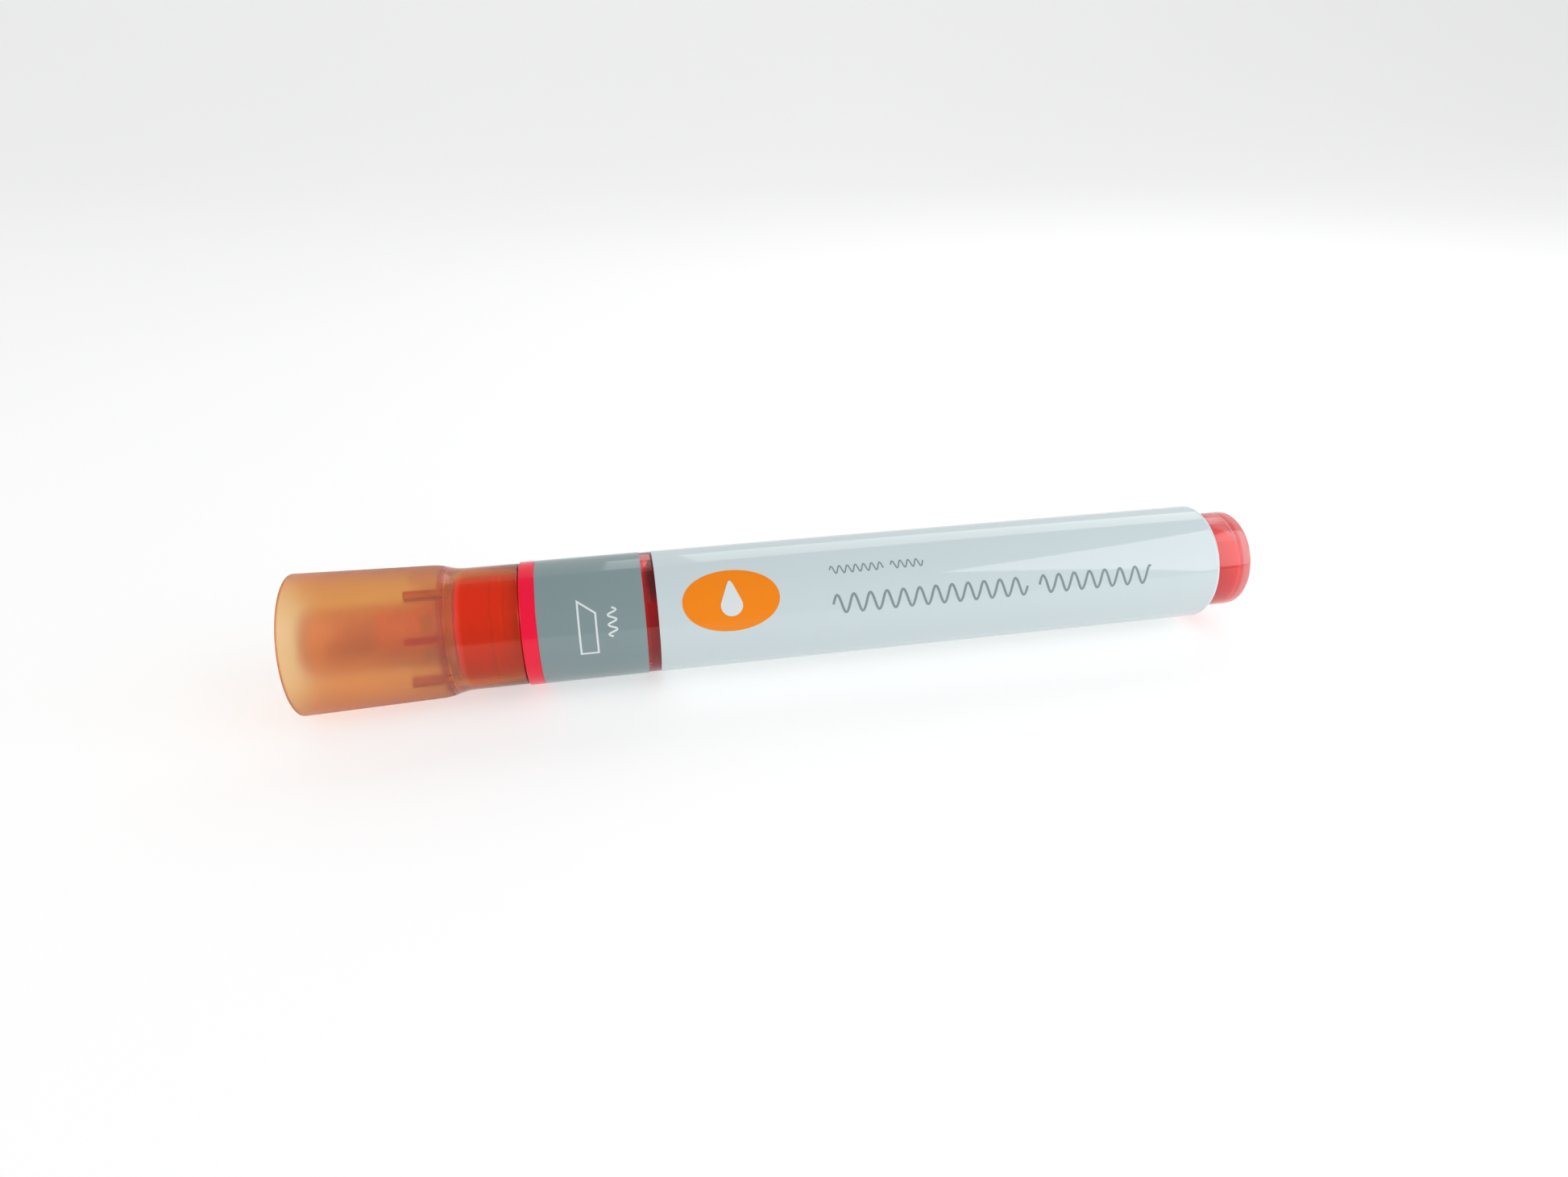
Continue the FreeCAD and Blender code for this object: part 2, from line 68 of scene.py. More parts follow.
# a profile is a row of (place along the pen, radius, rounding) in mm
def profileWire(bm, profile, closed):
    verts = [bm.verts.new((barrelFront + x * mm, 0, axisHeight + r * mm)) for x, r, _ in profile]
    pairs = list(zip(verts, verts[1:]))
    if closed:
        pairs.append((verts[-1], verts[0]))
    for pair in pairs:
        bm.edges.new(pair)
    for vert, (_, _, rounding) in zip(verts, profile):
        if rounding:
            bmesh.ops.bevel(bm, geom=[vert], offset=rounding * mm, offset_type="OFFSET", segments=5,
                            profile=0.5, affect="VERTICES", material=-1)


def spinProfile(profile, closed=True, steps=roundSteps):
    bm = bmesh.new()
    profileWire(bm, profile, closed)
    bmesh.ops.spin(bm, geom=bm.verts[:] + bm.edges[:], cent=(0, 0, axisHeight), axis=(1, 0, 0),
                   angle=math.tau, steps=min(steps, roundSteps), use_merge=True)
    bmesh.ops.remove_doubles(bm, verts=bm.verts, dist=1e-6)
    bmesh.ops.recalc_face_normals(bm, faces=bm.faces)
    return bm


def asObject(bm, name, material):
    mesh = bpy.data.meshes.new(name)
    bm.to_mesh(mesh)
    bm.free()
    mesh.shade_smooth()
    mesh.materials.append(material)
    made = bpy.data.objects.new(name, mesh)
    scene.collection.objects.link(made)
    return made


# edges that turn by more than sharp, in degrees, stay sharp
def asPiece(bm, name, body, slotName, material, *stoodFor, sharp=32):
    piece = asObject(bm, name, material)
    piece.data.set_sharp_from_angle(angle=math.radians(sharp))
    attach(piece, body)
    if stoodFor:
        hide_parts(*stoodFor)


def everything(bm):
    return bm.verts[:] + bm.edges[:] + bm.faces[:]


def onlyVerts(geometry):
    return [element for element in geometry if isinstance(element, bmesh.types.BMVert)]


# takes away what is on the normal's side of a plane and closes the cut
def cutAway(bm, spot, normal):
    cut = bmesh.ops.bisect_plane(bm, geom=everything(bm), plane_co=spot, plane_no=normal, clear_outer=True)
    rim = [element for element in cut["geom_cut"] if isinstance(element, bmesh.types.BMEdge)]
    bmesh.ops.holes_fill(bm, edges=rim, sides=0)


# joins or cuts one mesh with another and gives the result as a new bmesh
def combine(bm, tool, operation):
    objects = []
    for part in (bm, tool):
        mesh = bpy.data.meshes.new("work")
        part.to_mesh(mesh)
        part.free()
        objects.append(bpy.data.objects.new("work", mesh))
        scene.collection.objects.link(objects[-1])
    modifier = objects[0].modifiers.new("combine", "BOOLEAN")
    modifier.operation = operation
    modifier.solver = "EXACT"
    modifier.object = objects[1]
    evaluated = objects[0].evaluated_get(bpy.context.evaluated_depsgraph_get())
    joined = bpy.data.meshes.new_from_object(evaluated)
    result = bmesh.new()
    result.from_mesh(joined)
    for part in objects:
        bpy.data.objects.remove(part)
    bpy.data.meshes.remove(joined)
    bmesh.ops.remove_doubles(result, verts=result.verts, dist=1e-7)
    return result


# copies of a block, evenly spaced round the pen's axis: centre is its place and its radius
def ringOfBlocks(centre, size, count, turn):
    bm = bmesh.new()
    for number in range(count):
        made = bmesh.ops.create_cube(bm, size=1)["verts"]
        bmesh.ops.scale(bm, vec=Vector(size) * mm, verts=made)
        bmesh.ops.translate(bm, vec=Vector((centre[0] * mm, 0, centre[1] * mm)), verts=made)
        spun = Matrix.Rotation(math.radians(turn) + math.tau * number / count, 3, "X")
        bmesh.ops.rotate(bm, cent=(0, 0, 0), matrix=spun, verts=made)
        bmesh.ops.translate(bm, vec=(barrelFront, 0, axisHeight), verts=made)
    return bm


def newGroup(name, inputs, outputs):
    group = bpy.data.node_groups.new(name, "ShaderNodeTree")
    for socketName, kind, value in inputs:
        socket = group.interface.new_socket(name=socketName, in_out="INPUT", socket_type=kind)
        socket.default_value = value
    for socketName, kind in outputs:
        group.interface.new_socket(name=socketName, in_out="OUTPUT", socket_type=kind)
    return group, group.nodes.new("NodeGroupInput"), group.nodes.new("NodeGroupOutput")


def addNode(tree, kind, **settings):
    node = tree.nodes.new(kind)
    for key, value in settings.items():
        setattr(node, key, value)
    return node


def addMath(tree, operation, first, second, clamp=False):
    node = addNode(tree, "ShaderNodeMath", operation=operation, use_clamp=clamp)
    for number, value in enumerate((first, second)):
        if isinstance(value, (int, float)):
            node.inputs[number].default_value = value
        else:
            tree.links.new(value, node.inputs[number])
    return node.outputs[0]


def addNoise(tree, scale, detail, stretch=(1, 1, 1)):
    place = addNode(tree, "ShaderNodeTexCoord")
    mapping = addNode(tree, "ShaderNodeMapping")
    mapping.inputs["Scale"].default_value = stretch
    tree.links.new(place.outputs["Object"], mapping.inputs["Vector"])
    noise = addNode(tree, "ShaderNodeTexNoise")
    noise.inputs["Detail"].default_value = detail
    if isinstance(scale, float):
        noise.inputs["Scale"].default_value = scale
    else:
        tree.links.new(scale, noise.inputs["Scale"])
    tree.links.new(mapping.outputs["Vector"], noise.inputs["Vector"])
    return noise.outputs["Fac"]


mouldSettings = {"driftDetail": 2.0, "grainDetail": 1.0, "calm": 0.3, "lively": 0.7}


# slow colour drift and fine surface grain of a moulded or printed surface
def buildMouldGroup():
    inputs = [
        ("Colour", "NodeSocketColor", (0.8, 0.8, 0.8, 1)),
        ("Drift Colour", "NodeSocketColor", (0.7, 0.7, 0.7, 1)),
        ("Drift Scale", "NodeSocketFloat", 90.0),
        ("Grain Scale", "NodeSocketFloat", 3000.0),
        ("Smooth", "NodeSocketFloat", 0.2),
        ("Rough", "NodeSocketFloat", 0.3),
    ]
    outputs = [
        ("Colour", "NodeSocketColor"),
        ("Roughness", "NodeSocketFloat"),
        ("Height", "NodeSocketFloat"),
    ]
    group, inside, outside = newGroup("mouldedSurface", inputs, outputs)
    drift = addNoise(group, inside.outputs["Drift Scale"], mouldSettings["driftDetail"])
    grain = addNoise(group, inside.outputs["Grain Scale"], mouldSettings["grainDetail"])
    blend = addNode(group, "ShaderNodeMix", data_type="RGBA")
    group.links.new(drift, blend.inputs["Factor"])
    group.links.new(inside.outputs["Colour"], blend.inputs["A"])
    group.links.new(inside.outputs["Drift Colour"], blend.inputs["B"])
    group.links.new(blend.outputs["Result"], outside.inputs["Colour"])
    spread = addNode(group, "ShaderNodeMapRange")
    group.links.new(drift, spread.inputs["Value"])
    spread.inputs["From Min"].default_value = mouldSettings["calm"]
    spread.inputs["From Max"].default_value = mouldSettings["lively"]
    group.links.new(inside.outputs["Smooth"], spread.inputs["To Min"])
    group.links.new(inside.outputs["Rough"], spread.inputs["To Max"])
    group.links.new(spread.outputs["Result"], outside.inputs["Roughness"])
    group.links.new(grain, outside.inputs["Height"])
    return group


scuffSettings = {"detail": 4.0, "stretch": (0.25, 3.0, 3.0), "thinOver": 0.64, "patchScale": 60.0,
                 "patchDetail": 2.0}


# thin handling scratches, 0 to 1
def buildScuffGroup():
    s = scuffSettings
    inputs = [("Amount", "NodeSocketFloat", 0.5), ("Scale", "NodeSocketFloat", 260.0)]
    group, inside, outside = newGroup("handlingScuffs", inputs, [("Mask", "NodeSocketFloat")])
    streaks = addNoise(group, inside.outputs["Scale"], s["detail"], s["stretch"])
    patches = addNoise(group, s["patchScale"], s["patchDetail"])
    thin = addMath(group, "GREATER_THAN", streaks, s["thinOver"])
    where = addMath(group, "MULTIPLY", thin, patches)
    amount = addMath(group, "MULTIPLY", where, inside.outputs["Amount"], True)
    group.links.new(amount, outside.inputs["Mask"])
    return group


# 0 in front of a place along the pen, 1 behind it, over a given distance
def buildAlongGroup():
    inputs = [("Place", "NodeSocketFloat", 0.0), ("Over", "NodeSocketFloat", 0.001)]
    group, inside, outside = newGroup("alongPen", inputs, [("Mask", "NodeSocketFloat")])
    place = addNode(group, "ShaderNodeTexCoord")
    split = addNode(group, "ShaderNodeSeparateXYZ")
    group.links.new(place.outputs["Object"], split.inputs[0])
    past = addMath(group, "SUBTRACT", split.outputs["X"], inside.outputs["Place"])
    share = addMath(group, "DIVIDE", past, inside.outputs["Over"], True)
    group.links.new(share, outside.inputs["Mask"])
    return group


# 0 near the pen's axis, 1 further out than a given radius
def buildOutwardGroup():
    inputs = [("Radius", "NodeSocketFloat", 0.008), ("Over", "NodeSocketFloat", 0.0002)]
    group, inside, outside = newGroup("outFromAxis", inputs, [("Mask", "NodeSocketFloat")])
    place = addNode(group, "ShaderNodeTexCoord")
    shift = addNode(group, "ShaderNodeVectorMath", operation="SUBTRACT")
    shift.inputs[1].default_value = (0, 0, axisHeight)
    group.links.new(place.outputs["Object"], shift.inputs[0])
    flat = addNode(group, "ShaderNodeVectorMath", operation="MULTIPLY")
    flat.inputs[1].default_value = (0, 1, 1)
    group.links.new(shift.outputs[0], flat.inputs[0])
    length = addNode(group, "ShaderNodeVectorMath", operation="LENGTH")
    group.links.new(flat.outputs[0], length.inputs[0])
    past = addMath(group, "SUBTRACT", length.outputs["Value"], inside.outputs["Radius"])
    share = addMath(group, "DIVIDE", past, inside.outputs["Over"], True)
    group.links.new(share, outside.inputs["Mask"])
    return group


mouldGroup = buildMouldGroup()
scuffGroup = buildScuffGroup()
alongGroup = buildAlongGroup()
outwardGroup = buildOutwardGroup()


def placeGroup(tree, group, **values):
    node = addNode(tree, "ShaderNodeGroup", node_tree=group)
    for key, value in values.items():
        node.inputs[key.replace("_", " ")].default_value = value
    return node


# what a look has unless it says otherwise
plainLook = {
    "driftScale": 90.0, "grainScale": 3000.0, "scuffs": 0.15, "bumpDepth": 0.02, "ior": 1.5,
    "specular": 0.5, "inner": 0.0, "innerScale": 1.0, "clear": 0.0,
}
innerReach = (1, 0.4, 0.3)  # red light goes furthest inside


# a Principled material whose colour, roughness and bump come from the moulded surface group
def plastic(name, ownLook):
    look = plainLook | ownLook
    material = bpy.data.materials.new(name)
    material.use_nodes = True
    tree = material.node_tree
    shader = tree.nodes["Principled BSDF"]
    mould = placeGroup(tree, mouldGroup, Colour=(*look["colour"], 1), Drift_Colour=(*look["drift"], 1),
                       Drift_Scale=look["driftScale"], Grain_Scale=look["grainScale"],
                       Smooth=look["smooth"], Rough=look["rough"])
    tree.links.new(mould.outputs["Colour"], shader.inputs["Base Color"])
    scuffs = placeGroup(tree, scuffGroup, Amount=look["scuffs"])
    worn = addMath(tree, "ADD", mould.outputs["Roughness"], scuffs.outputs["Mask"], True)
    tree.links.new(worn, shader.inputs["Roughness"])
    bump = addNode(tree, "ShaderNodeBump")
    bump.inputs["Strength"].default_value = look["bump"]
    bump.inputs["Distance"].default_value = look["bumpDepth"] * mm
    tree.links.new(mould.outputs["Height"], bump.inputs["Height"])
    tree.links.new(bump.outputs["Normal"], shader.inputs["Normal"])
    shader.inputs["IOR"].default_value = look["ior"]
    shader.inputs["Specular IOR Level"].default_value = look["specular"]
    shader.inputs["Subsurface Weight"].default_value = look["inner"]
    shader.inputs["Subsurface Radius"].default_value = innerReach
    shader.inputs["Subsurface Scale"].default_value = look["innerScale"] * mm
    shader.inputs["Transmission Weight"].default_value = look["clear"]
    return material


# see-through plastic or liquid: it takes its colour from its depth, and lamps reach what is behind it
def clearPlastic(name, look):
    material = plastic(name, look)
    tree = material.node_tree
    output = tree.nodes["Material Output"]
    depth = addNode(tree, "ShaderNodeVolumeAbsorption")
    lost = [-math.log(share) / mm for share in look["perMm"]]  # per metre, for what 1 mm lets through
    depth.inputs["Density"].default_value = max(lost)
    depth.inputs["Color"].default_value = (*(1 - loss / max(lost) for loss in lost), 1)
    tree.links.new(depth.outputs["Volume"], output.inputs["Volume"])
    shader = tree.nodes["Principled BSDF"]
    path = addNode(tree, "ShaderNodeLightPath")
    through = addNode(tree, "ShaderNodeBsdfTransparent")
    through.inputs["Color"].default_value = (*look["shadowTint"], 1)
    mix = addNode(tree, "ShaderNodeMixShader")
    tree.links.new(path.outputs["Is Shadow Ray"], mix.inputs["Fac"])
    tree.links.new(shader.outputs["BSDF"], mix.inputs[1])
    tree.links.new(through.outputs["BSDF"], mix.inputs[2])
    tree.links.new(mix.outputs["Shader"], output.inputs["Surface"])
    return material


capLook = {
    "colour": (0.99, 0.97, 0.94), "drift": (0.98, 0.95, 0.91), "smooth": 0.11, "rough": 0.15,
    "bump": 0.25, "bumpDepth": 0.01, "grainScale": 5200.0, "clear": 0.96, "ior": 1.46,
    "scuffs": 0.04, "perMm": (0.945, 0.675, 0.335), "shadowTint": (0.98, 0.96, 0.93),
    "sleeve": (0.82, 0.42, 0.03), "sleeveStart": -10.2, "sleeveFade": 0.8,
    "rib": (0.74, 0.30, 0.10), "ribOver": 7.85, "ribEnd": -11.9, "ribFade": 0.2, "frost": 0.42,
    "frostEnd": -12.0, "frostFade": 0.5, "frostOver": 8.2,
}
innerLook = {
    "colour": (0.98, 0.80, 0.62), "drift": (0.97, 0.77, 0.58), "smooth": 0.22, "rough": 0.3,
    "bump": 0.1, "clear": 0.82, "ior": 1.46, "scuffs": 0.0, "perMm": (0.96, 0.76, 0.56),
    "shadowTint": (0.98, 0.95, 0.92), "web": (1.0, 0.80, 0.30), "webStart": -12.0, "webFade": 0.2,
}
barrelLook = {
    "colour": (0.95, 0.30, 0.30), "drift": (0.94, 0.28, 0.28), "smooth": 0.02, "rough": 0.04,
    "bump": 0.02, "clear": 1.0, "ior": 1.5, "scuffs": 0.02, "perMm": (0.99, 0.97, 0.97),
    "shadowTint": (0.98, 0.98, 0.98),
}
plugLook = {
    "colour": (0.97, 0.93, 0.92), "drift": (0.965, 0.92, 0.91), "smooth": 0.08, "rough": 0.14,
    "bump": 0.04, "clear": 0.88, "ior": 1.48, "scuffs": 0.05, "perMm": (0.985, 0.94, 0.94),
    "shadowTint": (0.98, 0.97, 0.97), "mattEnd": 0.4, "endStart": 103.6, "endFade": 0.3,
    "stained": (0.92, 0.30, 0.30), "clearStart": 102.3, "clearFade": 0.3,
}
redLook = {
    "colour": (0.97, 0.005, 0.05), "drift": (0.92, 0.004, 0.044), "smooth": 0.12, "rough": 0.2,
    "bump": 0.05, "inner": 0.2, "innerScale": 0.6, "scuffs": 0.1, "specular": 0.4,
}
holderLook = {
    "colour": (0.66, 0.02, 0.025), "drift": (0.58, 0.015, 0.02), "smooth": 0.35, "rough": 0.45,
    "bump": 0.08, "inner": 0.2, "innerScale": 0.6,
}
nibLook = {
    "colour": (0.42, 0.008, 0.02), "drift": (0.30, 0.005, 0.014), "driftScale": 900.0,
    "grainScale": 2600.0, "smooth": 0.75, "rough": 0.95, "bump": 0.7, "bumpDepth": 0.06,
    "scuffs": 0.0, "specular": 0.25,
}
wickLook = {
    "colour": (0.66, 0.05, 0.07), "drift": (0.52, 0.02, 0.03), "driftScale": 1200.0,
    "grainScale": 4000.0, "smooth": 0.8, "rough": 0.95, "bump": 0.6, "bumpDepth": 0.05,
    "scuffs": 0.0, "specular": 0.25,
}
collectorLook = {
    "colour": (0.50, 0.11, 0.11), "drift": (0.42, 0.08, 0.08), "smooth": 0.4, "rough": 0.5,
    "bump": 0.05, "inner": 0.2, "innerScale": 0.6,
}
sealLook = {
    "colour": (0.80, 0.02, 0.05), "drift": (0.72, 0.015, 0.04), "smooth": 0.3, "rough": 0.4,
    "bump": 0.05, "inner": 0.2, "innerScale": 0.6,
}
# the ink's deep red is its colour where the barrel shades it; lit is a painted lighter red that stands in
# for the light it gets in the clear stub
inkLook = {
    "colour": (0.95, 0.012, 0.014), "drift": (0.92, 0.01, 0.012), "smooth": 0.02, "rough": 0.03,
    "bump": 0.0, "scuffs": 0.0, "ior": 1.36, "clear": 0.3, "lit": (0.94, 0.13, 0.13),
    "litStart": 96.0, "litFade": 1.0, "perMm": (0.992, 0.83, 0.84),
    "shadowTint": (0.99, 0.95, 0.95),
}
bandLook = {
    "colour": (0.245, 0.325, 0.335), "drift": (0.235, 0.312, 0.322), "smooth": 0.06, "rough": 0.1,
    "bump": 0.03, "scuffs": 0.05,
}
labelLook = {
    "colour": (0.66, 0.755, 0.775), "drift": (0.645, 0.74, 0.76), "smooth": 0.04, "rough": 0.08,
    "bump": 0.03, "scuffs": 0.05,
}
orangePrintLook = {
    "colour": (0.98, 0.265, 0.008), "drift": (0.96, 0.255, 0.007), "smooth": 0.2, "rough": 0.26,
    "bump": 0.03, "specular": 0.3,
}
greyPrintLook = {
    "colour": (0.25, 0.33, 0.34), "drift": (0.24, 0.315, 0.325), "smooth": 0.2, "rough": 0.28,
    "bump": 0.03,
}
whitePrintLook = {
    "colour": (0.78, 0.83, 0.84), "drift": (0.76, 0.81, 0.82), "smooth": 0.2, "rough": 0.28,
    "bump": 0.03,
}

capMaterial = clearPlastic("frostedOrange", capLook)
innerMaterial = clearPlastic("innerOrange", innerLook)
barrelMaterial = clearPlastic("clearBarrel", barrelLook)
plugMaterial = clearPlastic("clearPlug", plugLook)
redMaterial = plastic("redPlastic", redLook)
holderMaterial = plastic("holderPlastic", holderLook)
nibMaterial = plastic("soakedFelt", nibLook)
wickMaterial = plastic("soakedFibre", wickLook)
collectorMaterial = plastic("collectorPlastic", collectorLook)
sealMaterial = plastic("sealPlastic", sealLook)
inkMaterial = clearPlastic("redInk", inkLook)
bandMaterial = plastic("greyFilm", bandLook)
labelMaterial = plastic("whiteFilm", labelLook)
orangePrint = plastic("orangePrint", orangePrintLook)
greyPrint = plastic("greyPrint", greyPrintLook)
whitePrint = plastic("whitePrint", whitePrintLook)


# turns the value or colour that feeds a socket into another where a mask is 1
def blendInto(material, socketName, mask, value):
    tree = material.node_tree
    socket = tree.nodes["Principled BSDF"].inputs[socketName]
    kind = "FLOAT" if isinstance(value, float) else "RGBA"
    blend = addNode(tree, "ShaderNodeMix", data_type=kind)
    tree.links.new(mask, blend.inputs["Factor"])
    tree.links.new(socket.links[0].from_socket, blend.inputs["A"])
    blend.inputs["B"].default_value = value if kind == "FLOAT" else (*value, 1)
    tree.links.new(blend.outputs["Result"], socket)


def pastStation(material, place, over):
    group = placeGroup(material.node_tree, alongGroup, Place=barrelFront + place * mm, Over=over * mm)
    return group.outputs["Mask"]


def pastRadius(material, radius):
    return placeGroup(material.node_tree, outwardGroup, Radius=radius * mm).outputs["Mask"]


# the cap is polished, but for the frosted outside of its skirt, and deeper in colour over ribs and sleeve
def finishCap(material, look):
    tree = material.node_tree
    polished = pastStation(material, look["frostEnd"], look["frostFade"])
    frosted = addMath(tree, "SUBTRACT", pastRadius(material, look["frostOver"]), polished, True)
    inward = addMath(tree, "SUBTRACT", 1.0, pastRadius(material, look["ribOver"]))
    ribs = addMath(tree, "SUBTRACT", inward, pastStation(material, look["ribEnd"], look["ribFade"]), True)
    blendInto(material, "Roughness", frosted, look["frost"])
    blendInto(material, "Base Color", ribs, look["rib"])
    sleeve = pastStation(material, look["sleeveStart"], look["sleeveFade"])
    blendInto(material, "Base Color", sleeve, look["sleeve"])


# the web is thick, ink stains the plug's hollow, the ink there gets a painted lighter red for the light
# coming through the clear stub, and the plug's end is matt
def finishOthers():
    web = pastStation(innerMaterial, innerLook["webStart"], innerLook["webFade"])
    blendInto(innerMaterial, "Base Color", web, innerLook["web"])
    clear = pastStation(plugMaterial, plugLook["clearStart"], plugLook["clearFade"])
    stained = addMath(plugMaterial.node_tree, "SUBTRACT", 1.0, clear)
    blendInto(plugMaterial, "Base Color", stained, plugLook["stained"])
    end = pastStation(plugMaterial, plugLook["endStart"], plugLook["endFade"])
    blendInto(plugMaterial, "Roughness", end, plugLook["mattEnd"])
    # painted light: behind litStart the ink's colour turns to the lighter lit red of the clear stub
    lit = pastStation(inkMaterial, inkLook["litStart"], inkLook["litFade"])
    blendInto(inkMaterial, "Base Color", lit, inkLook["lit"])


finishCap(capMaterial, capLook)
finishOthers()
print("materials made")


barrelSettings = {"rearRound": 0.9}


def makeBarrel():
    back = station("barrel", 1)
    bm = spinProfile([
        (0, boreR, softEdge),
        (back, boreR, softEdge),
        (back, barrelR, barrelSettings["rearRound"]),
        (0, barrelR, crispEdge),
    ])
    asPiece(bm, "barrelTube", "pen", "clear_plastic", barrelMaterial, "barrel")


plugSettings = {"stubR": 7.15, "wall": 1.2, "end": 1.4, "round": 0.8, "gateR": 1.1, "gateSlope": 0.3,
                "gateDepth": 0.25}


def makePlug():
    s = plugSettings
    front, back = station("tail_plug", 0), station("tail_plug", 1)
    hollowR = s["stubR"] - s["wall"]
    bm = spinProfile([
        (back - s["end"], 0, 0),
        (back - s["end"], hollowR, s["round"]),
        (front, hollowR, softEdge),
        (front, pressedR, softEdge),
        (station("barrel", 1), pressedR, crispEdge),
        (station("barrel", 1), s["stubR"], 0),
        (back, s["stubR"], s["round"]),
        (back, s["gateR"] + s["gateSlope"], softEdge),
        (back - s["gateDepth"], s["gateR"], softEdge),
        (back - s["gateDepth"], 0, 0),
    ], closed=False)
    asPiece(bm, "tailPlug", "pen", "plug_plastic", plugMaterial, "tail_plug")


inkSettings = {"lap": 0.02}


# the liquid laps a little into the walls round it, so that no air shows between
def makeInk():
    lap = inkSettings["lap"]
    front, back = station("ink", 0), station("ink", 1)
    plugFront = station("tail_plug", 0)
    hollowR = plugSettings["stubR"] - plugSettings["wall"]
    bm = spinProfile([
        (front, 0, 0),
        (front, boreR + lap, 0),
        (plugFront, boreR + lap, 0),
        (plugFront, hollowR + lap, 0),
        (back + lap, hollowR + lap, plugSettings["round"]),
        (back + lap, 0, 0),
    ], closed=False)
    cutAway(bm, (0, 0, inkHigh.z), (0, 0, 1))
    bmesh.ops.recalc_face_normals(bm, faces=bm.faces)
    asPiece(bm, "freeInk", "pen", "ink_red", inkMaterial, "ink")


makeBarrel()
makePlug()
makeInk()
print("barrel, plug and ink made")


filmSettings = {"wrap": 55.0, "wrapSteps": 8, "edge": 0.02}


# the points of an arc over the barrel's rear shoulder
def shoulderArc(centreX, centreR, radius):
    steps = filmSettings["wrapSteps"]
    turns = [math.radians(filmSettings["wrap"]) * number / steps for number in range(steps + 1)]
    return [(centreX + radius * math.sin(turn), centreR + radius * math.cos(turn), 0) for turn in turns]


def makeFilms():
    edge = filmSettings["edge"]
    bandBack = station("band_label", 1)
    bm = spinProfile([(0, barrelR, 0), (bandBack, barrelR, 0), (bandBack, penR, edge), (0, penR, edge)])
    asPiece(bm, "greyBand", "pen", "band_film", bandMaterial, "band_label")
    front, back = station("main_label", 0), station("barrel", 1)
    film = penR - barrelR
    rearRound = barrelSettings["rearRound"]
    centreX, centreR = back - rearRound, barrelR - rearRound
    outer = shoulderArc(centreX, centreR, rearRound + film)
    inner = shoulderArc(centreX, centreR, rearRound)
    bm = spinProfile([(front, penR, edge)] + outer + inner[::-1] + [(front, barrelR, 0)])
    asPiece(bm, "whiteFilm", "pen", "label_film", labelMaterial, "main_label")


makeFilms()
print("films made")


sectionSettings = {"neckR": 7.0, "beadR": 7.2, "landR": 7.15, "collar": 2.05, "land": 2.05,
                   "beadGap": 0.3, "beadWidth": 1.6, "beadRamp": 0.3, "beadRound": 0.12, "wall": 1.2,
                   "bore": 5.4, "noseR": 4.0, "edge": 0.4, "collarFrontRound": 0.12,
                   "collarBackRound": 0.08}


def makeSection():
    s = sectionSettings
    front, back = station("front_section", 0), station("front_section", 1)
    collarFront = -s["collar"]
    land = collarFront - s["land"]
    bead = land - s["beadGap"]
    bm = spinProfile([
        (front, s["noseR"], softEdge),
        (front + s["wall"], s["noseR"], 0),
        (front + s["wall"], s["bore"], 0),
        (back, s["bore"], softEdge),
        (back, pressedR, softEdge),
        (0, pressedR, 0),
        (0, penR, s["collarBackRound"]),
        (collarFront, penR, s["collarFrontRound"]),
        (collarFront, s["landR"], crispEdge),
        (land, s["landR"], crispEdge),
        (land, s["neckR"], crispEdge),
        (bead, s["neckR"], crispEdge),
        (bead - s["beadRamp"], s["beadR"], s["beadRound"]),
        (bead - s["beadWidth"] + s["beadRamp"], s["beadR"], s["beadRound"]),
        (bead - s["beadWidth"], s["neckR"], crispEdge),
        (front, s["neckR"], s["edge"]),
    ])
    asPiece(bm, "frontSection", "pen", "red_plastic", redMaterial, "front_section")


holderSettings = {"tipR": 3.5, "noseR": 4.0, "noseFront": 5.0, "taper": 0.5, "flange": 1.0, "nibR": 2.3,
                  "wickR": 1.5, "nibSeat": 9.0, "ventCount": 6, "ventWidth": 2.0, "ventLength": 1.5,
                  "ventDepth": 1.0, "ventPlace": 6.7, "ventTurn": 45.0, "noseRound": 0.15, "steps": 96}


def makeHolder():
    s = holderSettings
    front, back = station("nib_holder", 0), station("nib_holder", 1)
    flangeR = roundness("nib_holder")
    nose = front + s["noseFront"]
    bm = spinProfile([
        (front, s["nibR"], softEdge),
        (front + s["nibSeat"], s["nibR"], 0),
        (front + s["nibSeat"], s["wickR"], 0),
        (back, s["wickR"], softEdge),
        (back, flangeR, softEdge),
        (back - s["flange"], flangeR, softEdge),
        (back - s["flange"], s["noseR"], crispEdge),
        (nose, s["noseR"], s["noseRound"]),
        (nose - s["noseR"] + s["tipR"], s["tipR"], softEdge),
        (front + s["taper"], s["tipR"], s["noseRound"]),
        (front, s["tipR"] - s["taper"], softEdge),
    ], steps=s["steps"])
    vent = (s["ventLength"], s["ventWidth"], 2 * s["ventDepth"])  # half of its height is inside the nose
    blocks = ringOfBlocks((front + s["ventPlace"], s["noseR"]), vent, s["ventCount"], s["ventTurn"])
    bm = combine(bm, blocks, "DIFFERENCE")
    asPiece(bm, "nibHolder", "pen", "holder_plastic", holderMaterial, "nib_holder")


nibSettings = {"run": 4.6, "back": 1.3, "edge": 0.7, "round": 0.12, "roundOver": 25, "rearRound": 0.15,
               "steps": 72, "sharp": 50}


